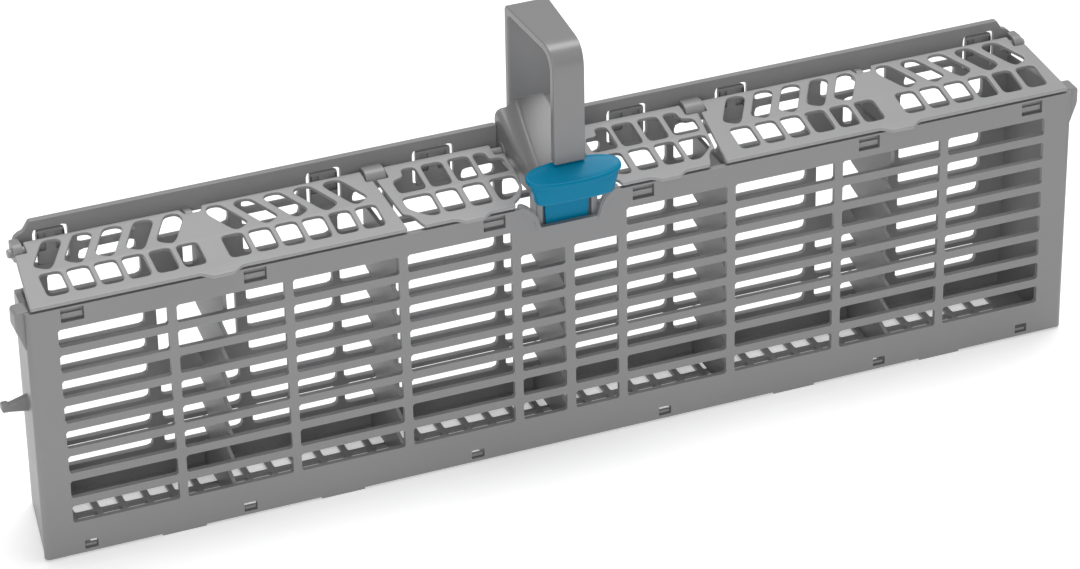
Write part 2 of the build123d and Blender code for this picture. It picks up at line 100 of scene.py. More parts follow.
def makeMouldedSkin():
    # fine moulded grain, slow flow clouding and a light dust bloom in one group
    g, i, o = newGroup(
        "mouldedSkin",
        [("Base", "NodeSocketColor", (0.3, 0.3, 0.3, 1)), ("Cloud", "NodeSocketFloat", 0.06),
         ("Rough", "NodeSocketFloat", 0.5), ("Rough Spread", "NodeSocketFloat", 0.06),
         ("Grain Scale", "NodeSocketFloat", 2600.0)],
        [("Color", "NodeSocketColor"), ("Roughness", "NodeSocketFloat"), ("Height", "NodeSocketFloat")])
    coord = g.nodes.new("ShaderNodeTexCoord")
    cloud = g.nodes.new("ShaderNodeTexNoise")
    cloud.inputs["Scale"].default_value = 22.0
    cloud.inputs["Detail"].default_value = 3.0
    link(g, coord.outputs["Object"], cloud.inputs["Vector"])
    grain = g.nodes.new("ShaderNodeTexNoise")
    grain.inputs["Detail"].default_value = 2.0
    link(g, i.outputs["Grain Scale"], grain.inputs["Scale"])
    link(g, coord.outputs["Object"], grain.inputs["Vector"])
    shift = mathNode(g, "SUBTRACT", cloud.outputs["Fac"], 0.5)
    shift = mathNode(g, "MULTIPLY", shift, i.outputs["Cloud"])
    gain = mathNode(g, "ADD", 1.0, shift)
    tint = g.nodes.new("ShaderNodeVectorMath")
    tint.operation = "SCALE"
    link(g, i.outputs["Base"], tint.inputs[0])
    link(g, gain, tint.inputs["Scale"])
    link(g, tint.outputs[0], o.inputs["Color"])
    spread = mathNode(g, "SUBTRACT", cloud.outputs["Fac"], 0.5)
    spread = mathNode(g, "MULTIPLY", spread, i.outputs["Rough Spread"])
    fine = mathNode(g, "SUBTRACT", grain.outputs["Fac"], 0.5)
    fine = mathNode(g, "MULTIPLY", fine, 0.08)
    rough = mathNode(g, "ADD", i.outputs["Rough"], spread)
    rough = mathNode(g, "ADD", rough, fine)
    link(g, rough, o.inputs["Roughness"])
    link(g, grain.outputs["Fac"], o.inputs["Height"])
    return g


def makePaintedEdgeHighlight():
    # mask for a painted highlight that is 1 on the sharp outer edges, from how far a rounded normal leaves
    # the true one
    g, i, o = newGroup("paintedEdgeHighlight", [("Width", "NodeSocketFloat", 0.0006), ("Gain", "NodeSocketFloat", 1.6)],
                       [("Mask", "NodeSocketFloat")])
    bevel = g.nodes.new("ShaderNodeBevel")
    bevel.samples = 4
    link(g, i.outputs["Width"], bevel.inputs["Radius"])
    geo = g.nodes.new("ShaderNodeNewGeometry")
    dot = g.nodes.new("ShaderNodeVectorMath")
    dot.operation = "DOT_PRODUCT"
    link(g, bevel.outputs["Normal"], dot.inputs[0])
    link(g, geo.outputs["Normal"], dot.inputs[1])
    away = mathNode(g, "SUBTRACT", 1.0, dot.outputs["Value"])
    away = mathNode(g, "MULTIPLY", away, i.outputs["Gain"])
    away = mathNode(g, "MINIMUM", away, 1.0)
    link(g, away, o.inputs["Mask"])
    return g


skinGroup = makeMouldedSkin()
paintedEdgeHighlightGroup = makePaintedEdgeHighlight()

# the edge colour of each finish is a painted highlight, mixed in on the sharp edges
finishes = {
    "bodyGrey": {"base": (0.225, 0.225, 0.229), "edge": (0.33, 0.33, 0.335), "cloud": 0.10, "rough": 0.38,
                 "spread": 0.10, "grain": 2400.0, "bump": 0.05, "specular": 0.35},
    # painted light: the lids' grey is the body's grey made lighter for the top light falling on the lids
    "lidGreyPaintedLight": {"base": (0.270, 0.270, 0.274), "edge": (0.40, 0.40, 0.405), "cloud": 0.08, "rough": 0.38,
                "spread": 0.08, "grain": 2600.0, "bump": 0.05, "specular": 0.5},
    "handleGrey": {"base": (0.205, 0.205, 0.209), "edge": (0.42, 0.42, 0.425), "cloud": 0.08, "rough": 0.30,
                   "spread": 0.08, "grain": 2400.0, "bump": 0.04, "specular": 0.5},
    "latchBlue": {"base": (0.000, 0.175, 0.310), "edge": (0.01, 0.23, 0.37), "cloud": 0.08, "rough": 0.28,
                  "spread": 0.06, "grain": 2800.0, "bump": 0.03, "specular": 0.12},
}


def mouldedPlastic(name, look):
    # plain shader with the moulded skin, and a painted highlight: a lighter colour on the sharp edges
    m = bpy.data.materials.new(name)
    m.use_nodes = True
    t = m.node_tree
    shader = t.nodes["Principled BSDF"]
    skin = t.nodes.new("ShaderNodeGroup")
    skin.node_tree = skinGroup
    skin.inputs["Base"].default_value = (*look["base"], 1)
    skin.inputs["Cloud"].default_value = look["cloud"]
    skin.inputs["Rough"].default_value = look["rough"]
    skin.inputs["Rough Spread"].default_value = look["spread"]
    skin.inputs["Grain Scale"].default_value = look["grain"]
    # painted highlight: the edge mask mixes the lighter edge colour into the base
    edge = t.nodes.new("ShaderNodeGroup")
    edge.node_tree = paintedEdgeHighlightGroup
    mix = t.nodes.new("ShaderNodeMix")
    mix.data_type = "RGBA"
    link(t, edge.outputs["Mask"], mix.inputs["Factor"])
    link(t, skin.outputs["Color"], mix.inputs[6])
    mix.inputs[7].default_value = (*look["edge"], 1)
    link(t, mix.outputs[2], shader.inputs["Base Color"])
    link(t, skin.outputs["Roughness"], shader.inputs["Roughness"])
    bump = t.nodes.new("ShaderNodeBump")
    bump.inputs["Strength"].default_value = look["bump"]
    bump.inputs["Distance"].default_value = 0.0002
    link(t, skin.outputs["Height"], bump.inputs["Height"])
    link(t, bump.outputs["Normal"], shader.inputs["Normal"])
    shader.inputs["Specular IOR Level"].default_value = look["specular"]
    return m


materials = {name: mouldedPlastic(name, look) for name, look in finishes.items()}
print("materials made")


# the front panel keeps the solid's shape and gets a broken edge, width in metres
edgeBreak = {"front_panel": 0.0004}


def dress(name, material):
    # merge the loose triangles, join flat fields, then round every sharp edge a little
    o = nodes[name]
    o.data.materials.clear()
    o.data.materials.append(materials[material])
    weld = o.modifiers.new("weld", "WELD")
    weld.merge_threshold = 1e-6
    flat = o.modifiers.new("flatFields", "DECIMATE")
    flat.decimate_type = "DISSOLVE"
    flat.angle_limit = math.radians(0.5)
    rim = o.modifiers.new("edgeBreak", "BEVEL")
    rim.width = edgeBreak[name]
    rim.segments = 2
    rim.limit_method = "ANGLE"
    rim.angle_limit = math.radians(28)
    rim.harden_normals = True


for name in edgeBreak:
    dress(name, "bodyGrey")
print("front panel dressed")

# places shared by all new pieces, in millimetres: y from the front face, z from the deck line,
# which is the top of the first row of slots
mm = 0.001
body = {"rearFace": 46.5, "rearBack": 49.5, "panelBack": 2.5, "rearHalf": 246.0, "foot": 1.0, "railTop": 29.4,
        "hingeY": 42.0, "hingeZ": 18.0, "pinRadius": 2.1, "rowPitch": 13.09}
shellHigh = [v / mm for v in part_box("basket_shell")[1]]
body["half"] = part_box("front_panel")[1][0] / mm
body["frontY"] = shellHigh[1] - body["rearBack"]
body["deckZ"] = shellHigh[2] - body["railTop"]
ground = body["foot"] - body["deckZ"]


def softCorners(points, radius, steps=4):
    # each corner P turns into a curve (1-s)^2 A + 2 s (1-s) P + s^2 C, with A and C on its two sides
    p = np.array(points, float)
    r = np.broadcast_to(np.asarray(radius, float), len(p))[:, None]
    toA = np.roll(p, 1, axis=0) - p
    toC = np.roll(p, -1, axis=0) - p
    lenA = np.linalg.norm(toA, axis=1)[:, None]
    lenC = np.linalg.norm(toC, axis=1)[:, None]
    a = p + toA / lenA * np.minimum(r, 0.46 * lenA)
    c = p + toC / lenC * np.minimum(r, 0.46 * lenC)
    s = np.linspace(0, 1, steps)[None, :, None]
    curve = (1 - s) ** 2 * a[:, None] + 2 * s * (1 - s) * p[:, None] + s ** 2 * c[:, None]
    return curve.reshape(-1, 2)


def rect(x0, x1, y0, y1):
    # corner points of a rectangle
    return [(x1, y0), (x1, y1), (x0, y1), (x0, y0)]


def plate(outline, holes, thick, edge, plane, rounds=1):
    # a flat field between an outline and its openings, thickened, rounded at every edge by the curve's bevel,
    # and carried from its own plane (origin, across, up) into the frame
    data = bpy.data.curves.new("plate", "CURVE")
    data.dimensions = "2D"
    data.fill_mode = "BOTH"
    for loop in [outline] + list(holes):
        flat = np.zeros((len(loop), 4))
        flat[:, :2] = np.array(loop) * mm
        spline = data.splines.new("POLY")
        spline.points.add(len(loop) - 1)
        spline.points.foreach_set("co", flat.ravel())
        spline.use_cyclic_u = True
    data.extrude = (thick / 2 - edge) * mm
    data.bevel_depth = edge * mm
    data.offset = -edge * mm
    data.bevel_resolution = rounds
    holder = bpy.data.objects.new("plate", data)
    mesh = bpy.data.meshes.new_from_object(holder)
    bpy.data.objects.remove(holder)
    origin, across, up = [np.array(v, float) for v in plane]
    normal = np.cross(across, up)
    co = np.empty(len(mesh.vertices) * 3)
    mesh.vertices.foreach_get("co", co)
    u, v, w = co.reshape(-1, 3).T
    spot = origin * mm + np.outer(u, across) + np.outer(v, up) + np.outer(w + thick * mm / 2, normal)
    mesh.vertices.foreach_set("co", spot.ravel())
    return mesh


def acrossPlane(y, thick):
    # x and z field whose slab runs from the depth y to y + thick
    return ((0, body["frontY"] + y + thick, body["deckZ"]), (1, 0, 0), (0, 0, 1))


def sidePlane(x):
    # y and z field whose slab runs from x towards +X
    return ((x, body["frontY"], body["deckZ"]), (0, 1, 0), (0, 0, 1))


def groundPlane(z):
    # x and y field whose slab runs up from the height z above the deck line
    return ((0, body["frontY"], body["deckZ"] + z), (1, 0, 0), (0, 1, 0))


def gridMesh(spots, closed=False):
    # quads over a grid of points, in order u then v; closed joins the last of each row v to its first
    nu, nv = spots.shape[:2]
    i = np.arange(nu * nv).reshape(nu, nv)
    if closed:
        i = np.hstack([i, i[:, :1]])
    faces = np.stack([i[:-1, :-1], i[1:, :-1], i[1:, 1:], i[:-1, 1:]], axis=-1).reshape(-1, 4)
    mesh = bpy.data.meshes.new("grid")
    mesh.from_pydata(spots.reshape(-1, 3).tolist(), [], faces.tolist())
    return mesh


def inFrame(x, y, z):
    # millimetre arrays from the front face and the deck line, as places in the frame
    return np.stack(np.broadcast_arrays(x, body["frontY"] + y, body["deckZ"] + z), axis=-1) * mm


def rod(x0, x1, radius, y, z, sides=20):
    # a round bar along X with small rounded ends: radius r(u) carried from end to end
    u = np.array([x0, x0, x0 + 0.5, x1 - 0.5, x1, x1])
    r = np.array([0.001, radius - 0.5, radius, radius, radius - 0.5, 0.001])
    angle = np.linspace(0, 2 * np.pi, sides, endpoint=False)
    ringY = y + r[:, None] * np.cos(angle)
    ringZ = z + r[:, None] * np.sin(angle)
    return gridMesh(inFrame(u[:, None], ringY, ringZ), closed=True)


def assemble(name, meshes, material, rider, replaced, sharp=38):
    # one piece from several meshes, merged, turned outwards and smoothed up to its sharp edges
    work = bmesh.new()
    for m in meshes:
        work.from_mesh(m)
        bpy.data.meshes.remove(m)
    bmesh.ops.remove_doubles(work, verts=work.verts, dist=2e-6)
    bmesh.ops.recalc_face_normals(work, faces=work.faces)
    for f in work.faces:
        f.smooth = True
    mesh = bpy.data.meshes.new(name)
    work.to_mesh(mesh)
    work.free()
    mesh.set_sharp_from_angle(angle=math.radians(sharp))
    mesh.materials.clear()
    mesh.materials.append(materials[material])
    piece = bpy.data.objects.new(name, mesh)
    bpy.context.scene.collection.objects.link(piece)
    weighted = piece.modifiers.new("flatFields", "WEIGHTED_NORMAL")
    weighted.weight = 100
    weighted.keep_sharp = True
    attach(piece, rider)
    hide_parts(*replaced)
    print(name, "made,", len(mesh.polygons), "faces")


# lids
lid = {"thick": 2.0, "edge": 0.55, "slope": 0.18, "frontZ": 13.5, "slotSoft": 2.6, "outlineSoft": 1.0,
       "wideMid": 164.6, "frontRowShift": 1.15, "rearRowShift": 0.4, "narrowShift": 1.4,
       "frontSlot": (10.0, 15.2), "frontFirst": 10.5, "frontPitch": 12.54, "frontCount": 6, "frontY": 13.4,
       "rearFirst": 13.1, "rearPitch": 14.1, "rearCount": 5, "rearY": 33.0,
       "widePins": ((78.5, 86.0), (237.0, 249.4)), "wideNecks": ((83.9, 88.0), (236.2, 241.3)),
       "narrowPins": ((70.0, 78.1), (15.6, 23.0)), "narrowNecks": ((68.5, 72.7), (21.6, 25.0))}
stretch = math.hypot(1, lid["slope"])
lidUp = (0, 1 / stretch, lid["slope"] / stretch)
lidDown = np.array((0, lid["slope"], -1)) / stretch * lid["thick"]
lidPlane = ((0, body["frontY"] + lidDown[1], body["deckZ"] + lid["frontZ"] + lidDown[2]), (1, 0, 0), lidUp)
leaningSlot = [(-1.0, 9.1), (-6.6, 9.1), (-8.6, 6.6), (-0.4, -7.8),
               (1.4, -9.4), (3.4, -9.4), (8.5, -6.4), (0.8, 7.2)]
firstLeaningSlot = [(-1.0, 9.1), (-6.2, 9.1), (-7.6, 4.4)] + leaningSlot[3:]


def lidPlate(side, outline, holes):
    # plan points of a lid, measured from its front edge, on its sloping plane
    def laid(points, soft):
        return softCorners(points, soft) * (side, stretch)
    return plate(laid(outline, lid["outlineSoft"]), [laid(h, lid["slotSoft"]) for h in holes],
                 lid["thick"], lid["edge"], lidPlane, rounds=2)


def neck(side, x0, x1):
    # the web between a hinge pin and the lid above it
    y, z, r = body["hingeY"], body["hingeZ"], body["pinRadius"]
    points = [(y - r, z - 1.0), (y + 1.6, z - 1.0), (y + 1.6, z + 2.4), (y - r, z + 2.4)]
    return plate(softCorners(points, 0.6), [], x1 - x0, 0.3, sidePlane(x0 if side > 0 else -x1))


def pins(side, spans, necks):
    # hinge pins and their webs of one lid
    y, z, r = body["hingeY"], body["hingeZ"], body["pinRadius"]
    made = [rod(*sorted((side * a, side * b)), r, y, z) for a, b in spans]
    return made + [neck(side, a, b) for a, b in necks]


def wideLid(side):
    # outer lid: a straight front row of slots and a rear row that leans away from the middle on both sides
    mid = lid["wideMid"] + side * lid["rearRowShift"]
    frontMid = lid["wideMid"] + side * lid["frontRowShift"]
    outline = [(77.3, 0), (mid - 9.7, 0), (mid - 5.2, -3.2), (mid + 5.2, -3.4), (mid + 9.7, 0),
               (251.6, 0), (247.4, 36.4), (241.6, 36.4), (241.6, 44),
               (mid + 5.2, 44), (mid + 3.7, 40.2), (mid - 3.7, 40.2), (mid - 5.2, 44),
               (83.6, 44), (83.6, 36.3), (80.4, 36.3)]
    w, h = lid["frontSlot"]
    y = lid["frontY"]
    holes = []
    for k in range(lid["frontCount"]):
        off = lid["frontFirst"] + lid["frontPitch"] * k
        holes += [rect(x - w / 2, x + w / 2, y - h / 2, y + h / 2) for x in (frontMid - off, frontMid + off)]
    for k in range(lid["rearCount"]):
        off = lid["rearFirst"] + lid["rearPitch"] * k
        shape = leaningSlot if k else firstLeaningSlot
        holes += [[(mid + s * (off + u), lid["rearY"] + v) for u, v in shape] for s in (-1, 1)]
    return [lidPlate(side, outline, holes)] + pins(side, lid["widePins"], lid["wideNecks"])


def narrowLid(side):
    # inner lid: two rows of slots, the outermost ones cut to follow the corners
    shift = side * lid["narrowShift"]
    w, h = lid["frontSlot"]
    outline = [(25.8, 0), (39.0 + shift, 0), (43.0 + shift, -2.9), (52.0 + shift, -2.9), (56.0 + shift, 0),
               (69.2, 0), (70.4, 2.6), (71.4, 6.0), (73.0, 8.8), (76.0, 10.4), (78.9, 36.3),
               (72.9, 36.3), (72.9, 44), (21.4, 44), (21.4, 36.6), (16.9, 36.6),
               (16.9, 20.0), (18.0, 11.5), (21.6, 5.6), (25.2, 2.9)]
    holes = [rect(x - w / 2, x + w / 2, 23.8, 40.0) for x in (40.2, 53.05)]
    holes += [rect(x - w / 2, x + w / 2, 5.8, 21.0) for x in (40.4, 53.3)]
    holes.append([(60.6, 24), (73.6, 24), (73.8, 33.4), (67.6, 34.8), (67.6, 40), (60.8, 40)])
    holes.append([(60.4, 21), (74, 21), (74, 14.0), (71.4, 10.6), (67, 6.8), (64.5, 5.6), (60.6, 5.8)])
    holes.append([(32.9, 24), (32.9, 40), (26.8, 40), (26.8, 34.5), (20.2, 34.5), (20.2, 24)])
    holes.append([(32.2, 21), (20, 21), (20, 13), (22, 10.5), (27, 5.8), (32.0, 5.8)])
    holes = [[(x + shift, y) for x, y in hole] for hole in holes]
    return [lidPlate(side, outline, holes)] + pins(side, lid["narrowPins"], lid["narrowNecks"])


for word, side in (("left", -1), ("right", 1)):
    assemble("lidOuter" + word.title(), wideLid(side), "lidGreyPaintedLight", word + "_outer_lid",
             ["lid_outer_" + word])
    assemble("lidInner" + word.title(), narrowLid(side), "lidGreyPaintedLight", word + "_inner_lid",
             ["lid_inner_" + word])

# basket shell: rear wall with its rail and arms, tapered ends, grid floor, hinge blocks, ears and pegs
# a hinge block is x, its reach before and after x, radius, height over the hinge line and depth under it,
# and webDrop is the depth of the left and the right endBlock
shell = {"wall": 3.0, "edge": 0.35, "floorTop": -115.1, "floorThick": 2.2, "windowSoft": 2.4,
         "rowHeight": 10.5, "rowFirst": -9.4, "rowCount": 8, "armTop": 23.5, "armRoot": 6.3,
         "arms": ((47.7, 16.6), (100.3, 13.1), (228.0, 12.9)), "sideSlit": 1.7, "topSlit": 1.2,
         "frontLeaf": 1.8, "backLeaf": 1.4, "leafInset": 0.3,
         "pockets": (-4.3, 4.3), "pocket": (4.0, 13.0, 22.0),
         "columns": ((18.2, 67.6), (71.2, 94.5), (98.1, 139.6), (187.8, 231.0)), "tallColumn": (144.7, 182.2),
         "endFace": 253.6, "endTop": {-1: (8.4, -5.0), 1: (10.0, 9.0)},
         "floorHalf": (252.4, 245.4), "rearSeat": 47.0,
         "holePitch": (11.95, 12.2), "hole": (9.1, 10.0), "firstHole": 9.6, "holeColumns": 19,
         "knuckle": (78.3, 4.8, 4.8, 5.0, 4.2, 7.6), "lidRest": (164.6, 3.0, 0.6, 3.0, 1.6, 4.0),
         "endBlock": (245.0, 2.2, 2.2, 4.4, 4.0), "webDrop": {-1: 4.4, 1: 8.0},
         "feet": (112.8, 188.9), "footSize": (20.8, 4.0), "footSink": 0.4,
         "topTongues": (36.2, 149.2, 233.0), "topTongue": (9.7, 4.6, 7.2),
         "lowTongues": (46.8, 157.2, 232.4), "lowTongue": (5.3, -115.4, -113.8), "tongueDepth": (1.3, 2.9)}


def rearWall():
    # one slab with its rail, five columns of windows on each side, and the slits of the arms
    top = body["railTop"]
    half = body["rearHalf"]
    rim = [(half - 0.2, 18.6), (half - 1.6, 22.4), (half - 3.9, 24.2), (240.2, 24.6), (237.2, top),
           (16.7, top), (16.7, 12.0)]
    step = [(-half, 13.4), (-241.5, 13.4), (-241.5, -5.0), (-half, -5.0), (-half, ground)]
    outline = [(half, ground)] + rim + [(-x, z) for x, z in reversed(rim)] + step
    holes = []
    low = [shell["rowFirst"] - body["rowPitch"] * k for k in range(shell["rowCount"])]
    high = shell["rowHeight"]
    for z in low:
        holes.append(rect(-14.3, 14.3, z, z + high))
        holes += [rect(*sorted((s * a, s * b)), z, z + high) for a, b in shell["columns"] for s in (-1, 1)]
    a, b = shell["tallColumn"]
    upper = [(18.2, 34.3, 3.7, 10), (71.5, 87, 3.7, 10), (112.3, 139.6, 3.7, 10), (189.5, 216, 3.7, 10),
             (112.3, 139.6, 12.8, 18.4), (189.5, 216, 12.8, 18.4), (146, 180, 7.5, 17.5), (158, 168, -9.4, 5),
             (a, b, -53.5, -12)] + [(a, b, z, z + high) for z in low[5:]]
    holes += [rect(*sorted((s * x0, s * x1)), z0, z1) for x0, x1, z0, z1 in upper for s in (-1, 1)]
    slit, cap = shell["sideSlit"], shell["armTop"] + shell["topSlit"]
    holes += [rect(s * x - w / 2 - slit, s * x + w / 2 + slit, shell["armRoot"], cap)
              for x, w in shell["arms"] for s in (-1, 1)]
    return plate(softCorners(outline, 0.8, 3), [softCorners(h, shell["windowSoft"], 3) for h in holes],
                 shell["wall"], shell["edge"], acrossPlane(body["rearFace"], shell["wall"]))


def railArm(x, width):
    # springy arm in its slit: a front leaf with two pockets on a plain back leaf
    half = width / 2
    root, top = shell["armRoot"], shell["armTop"]
    field = softCorners(rect(x - half, x + half, root, top), (1.5, 1.0, 1.0, 1.5), 3)
    inset = shell["leafInset"]
    backField = softCorners(rect(x - half + inset, x + half - inset, root, top - inset), 1.0, 3)
    w, z0, z1 = shell["pocket"]
    pockets = [softCorners(rect(x + d - w / 2, x + d + w / 2, z0, z1), 0.6, 3) for d in shell["pockets"]]
    thick, backThick = shell["frontLeaf"], shell["backLeaf"]
    return [plate(field, pockets, thick, 0.25, acrossPlane(body["rearFace"], thick)),
            plate(backField, [], backThick, 0.25, acrossPlane(body["rearBack"] - backThick, backThick))]


def endWall(side):
    # upright slab that runs from the front corner to the narrower rear one, lower on the left end
    run = np.array((side * (body["rearHalf"] - shell["endFace"]), body["rearBack"] - body["panelBack"]))
    reach = float(np.linalg.norm(run))
    across = np.array((*run / reach, 0.0))
    normal = np.cross(across, (0, 0, 1))
    origin = np.array((side * shell["endFace"], body["frontY"] + body["panelBack"], body["deckZ"]))
    origin = origin - normal * shell["wall"] * (side > 0)
    frontTop, rearTop = shell["endTop"][side]
    field = softCorners([(0, ground), (reach, ground), (reach, rearTop), (0, frontTop)], 0.8, 3)
    return plate(field, [], shell["wall"], shell["edge"], (origin, across, (0, 0, 1)))


def floorGrid():
    # flat floor with three rows of holes
    stepX, stepY = shell["holePitch"]
    w, h = shell["hole"]
    holes = [softCorners(rect(c * stepX - w / 2, c * stepX + w / 2, y - h / 2, y + h / 2), 1.0, 3)
             for c in range(-shell["holeColumns"], shell["holeColumns"] + 1)
             for y in (shell["firstHole"] + stepY * r for r in range(3))]
    front, rear = shell["floorHalf"]
    y0, y1 = body["panelBack"], shell["rearSeat"]
    field = [(-front, y0), (front, y0), (rear, y1), (-rear, y1)]
    return plate(field, holes, shell["floorThick"], 0.25, groundPlane(ground))


def hingeBlock(x, before, after, radius, top, low):
    # rounded block about the hinge line from x - before to x + after, carried back to the rear wall
    y, z = body["hingeY"], body["hingeZ"]
    turn = np.radians(np.linspace(75, 235, 15))
    bow = np.stack([y + radius * np.cos(turn), z + radius * np.sin(turn)], axis=-1)
    field = np.vstack([[(shell["rearSeat"], z + top)], bow, [(shell["rearSeat"], z - low)]])
    return plate(field, [], before + after, 0.5, sidePlane(x - before))


def frontRail(side):
    # strip behind the top band of the front panel
    field = [(24.0, 1.0), (251.0, 1.0), (251.0, 9.0), (27.0, 9.0), (24.0, 7.4)]
    return plate(softCorners([(side * x, z) for x, z in field], 0.5, 3), [], 2.0, 0.3,
                 acrossPlane(body["panelBack"], 2.0))


def ear(side):
    # corner lug beside the top of the front panel
    half = body["half"]
    field = [(half - 2.4, 11.4), (half + 3.0, 11.4), (half + 4.2, 10.4), (half + 4.2, 3.0), (half, -9.0),
             (half - 2.4, -9.0)]
    return plate(softCorners([(side * x, z) for x, z in field], 1.0, 4), [], 8.4, 0.5,
                 acrossPlane(body["panelBack"], 8.4))


def peg(side):
    # headed peg on the end wall
    field = [(247.0, -45.2), (251.5, -46.2), (258.6, -48.2), (258.6, -47.2),
             (262.0, -47.2), (262.0, -51.2), (258.6, -51.4), (247.0, -53.4)]
    return plate(softCorners([(side * x, z) for x, z in field], 0.8, 3), [], 4.0, 0.4, acrossPlane(24.0, 4.0))


def block(x0, x1, y0, y1, z0, z1, edge=0.25):
    # small plain rib, foot or tongue
    return plate(rect(x0, x1, y0, y1), [], z1 - z0, edge, groundPlane(z0))


shellMeshes = [rearWall(), floorGrid()]
footX, footY = shell["footSize"]
nearY, farY = shell["tongueDepth"]
for s in (-1, 1):
    shellMeshes += [endWall(s), frontRail(s), ear(s), peg(s)]
    for x, *sizes in (shell["knuckle"], (*shell["endBlock"], shell["webDrop"][s]), shell["lidRest"]):
        shellMeshes.append(hingeBlock(s * x, *sizes))
    for x, width in shell["arms"]:
        shellMeshes += railArm(s * x, width)
    for x in shell["feet"]:
        shellMeshes += [block(s * x - footX / 2, s * x + footX / 2, y, y + footY, -body["deckZ"],
                              ground + shell["footSink"]) for y in (0.0, 43.5)]
    for places, (width, z0, z1) in ((shell["topTongues"], shell["topTongue"]),
                                    (shell["lowTongues"], shell["lowTongue"])):
        shellMeshes += [block(s * x - width / 2, s * x + width / 2, nearY, farY, z0, z1) for x in places]
assemble("basketShell", shellMeshes, "bodyGrey", "basket", ["basket_shell"])

# cross dividers: combs that are notched from the front and the rear edge between the slot rows
divider = {"thick": 2.0, "front": 2.8, "rear": 46.2, "notches": 7, "top": 4.0, "middleTop": -12.0,
           "rearNotch": ((46.2, -24.3), (36.2, -22.5), (36.2, -18.2), (46.2, -16.2)),
           "frontNotch": ((2.8, -12.9), (12.0, -14.5), (12.0, -20.9), (2.8, -23.4))}


def crossDivider(x, middle):
    # comb outline: up the rear edge, over the top, which is low behind the latch, and down the front edge
    pitch = body["rowPitch"]
    front, rear, top = divider["front"], divider["rear"], divider["top"]
    outline = [(front, shell["floorTop"]), (rear, shell["floorTop"])]
    for j in reversed(range(divider["notches"])):
        outline += [(y, z - pitch * j) for y, z in divider["rearNotch"]]
    if middle:
        outline += [(rear, divider["middleTop"]), (front, divider["middleTop"])]
    else:
        outline += [(rear, top), (9.0, top), (3.5, -2.0)]
    for j in range(1 if middle else 0, divider["notches"]):
        outline += [(y, z - pitch * j) for y, z in divider["frontNotch"]]
    thick = divider["thick"]
    return plate(softCorners(outline, 1.4, 4), [], thick, 0.35, sidePlane(x - thick / 2))


for number in range(1, 6):
    low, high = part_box("divider_" + str(number))
    x = (low[0] + high[0]) / 2 / mm
    assemble("crossDivider" + str(number), [crossDivider(x, number == 3)], "bodyGrey", "basket",
             ["divider_" + str(number)])

# handle: a strap loop that narrows to the front, a hood over the rail and the guide of the latch
handle = {"rearHalf": 10.5, "frontHalf": 7.5, "top": 88.2, "front": -1.4, "back": 50.0, "strap": 4.0,
          "frontEnd": 30.7, "frontSlant": 1.2, "rearEnd": 14.0,
          "seat": 12.0, "hoodHalf": 16.4, "hoodRear": 46.5, "hoodFront": 9.0, "hoodBow": 0.35,
          "backY": 46.0, "backTop": 35.8, "backProud": 0.4, "guideLow": -12.0, "guideHigh": 21.5,
          "boss": {"radius": 4.4, "from": 13.2, "to": 16.6}}


def strapLoop():
    # the loop seen from the side as one band, its width then scaled along the depth to taper it
    f, b, t, w = handle["front"], handle["back"], handle["top"], handle["strap"]
    low, rearLow = handle["frontEnd"], handle["rearEnd"]
    points = [(f, low), (f, t), (b, t), (b, rearLow),
              (b - w, rearLow), (b - w, t - w), (f + w, t - w), (f + w, low + handle["frontSlant"])]
    band = softCorners(points, (0.5, 12.5, 3.0, 0.5, 0.5, 2.5, 9.0, 0.5), 12)
    mesh = plate(band, [], 2 * handle["rearHalf"], 0.9, sidePlane(-handle["rearHalf"]), rounds=3)
    co = np.empty(len(mesh.vertices) * 3)
    mesh.vertices.foreach_get("co", co)
    co = co.reshape(-1, 3)
    depth = (co[:, 1] / mm - body["frontY"] - f) / (b - f)
    taper = handle["frontHalf"] / handle["rearHalf"]
    co[:, 0] *= taper + (1 - taper) * depth
    mesh.vertices.foreach_set("co", co.ravel())
    return mesh


def hoodLine(corners):
    # open profile from the left foot over the top to the right foot, its corners softened
    loop = corners + [(-x, z) for x, z in reversed(corners)]
    return softCorners(loop, (0, 2.2, 2.2, 2.6, 2.6, 2.2, 2.2, 0), 6)


def hood():
    # a closed shell between an outer and an inner surface, each a profile that blends from rear to front
    seat, half = handle["seat"], handle["hoodHalf"]
    rearOut = hoodLine([(-half, seat), (-half, 36.0), (-11.4, 37.4), (-8.0, 41.5)])
    frontOut = hoodLine([(-14.8, seat), (-14.8, 21), (-13.9, 23), (-12.4, 26)])
    rearIn = hoodLine([(-14.0, seat), (-14.0, 33.4), (-10.4, 34.8), (-7.0, 38.6)])
    frontIn = hoodLine([(-12.4, seat), (-12.4, 20.2), (-11.7, 21.6), (-10.4, 23.8)])
    t = np.linspace(0, 1, 14)[:, None]
    y = handle["hoodRear"] + (handle["hoodFront"] - handle["hoodRear"]) * t
    fall = t + handle["hoodBow"] * t * (1 - t)

    def blended(rear, front):
        x = rear[:, 0] * (1 - t) + front[:, 0] * t
        return inFrame(x, y, rear[:, 1] * (1 - fall) + front[:, 1] * fall)
    outer = blended(rearOut, frontOut)
    inner = blended(rearIn, frontIn)
    rims = [np.stack([outer[0], inner[0]]), np.stack([outer[-1], inner[-1]]),
            np.stack([outer[:, 0], inner[:, 0]]), np.stack([outer[:, -1], inner[:, -1]])]
    return [gridMesh(outer), gridMesh(inner)] + [gridMesh(r) for r in rims]


def hoodBack():
    # upright wall at the rear of the hood
    field = rect(-handle["hoodHalf"], handle["hoodHalf"], handle["seat"], handle["backTop"])
    thick = body["rearBack"] + handle["backProud"] - handle["backY"]
    return plate(softCorners(field, (0.6, 4.5, 4.5, 0.6), 6), [], thick, 0.7,
                 acrossPlane(handle["backY"], thick), rounds=2)


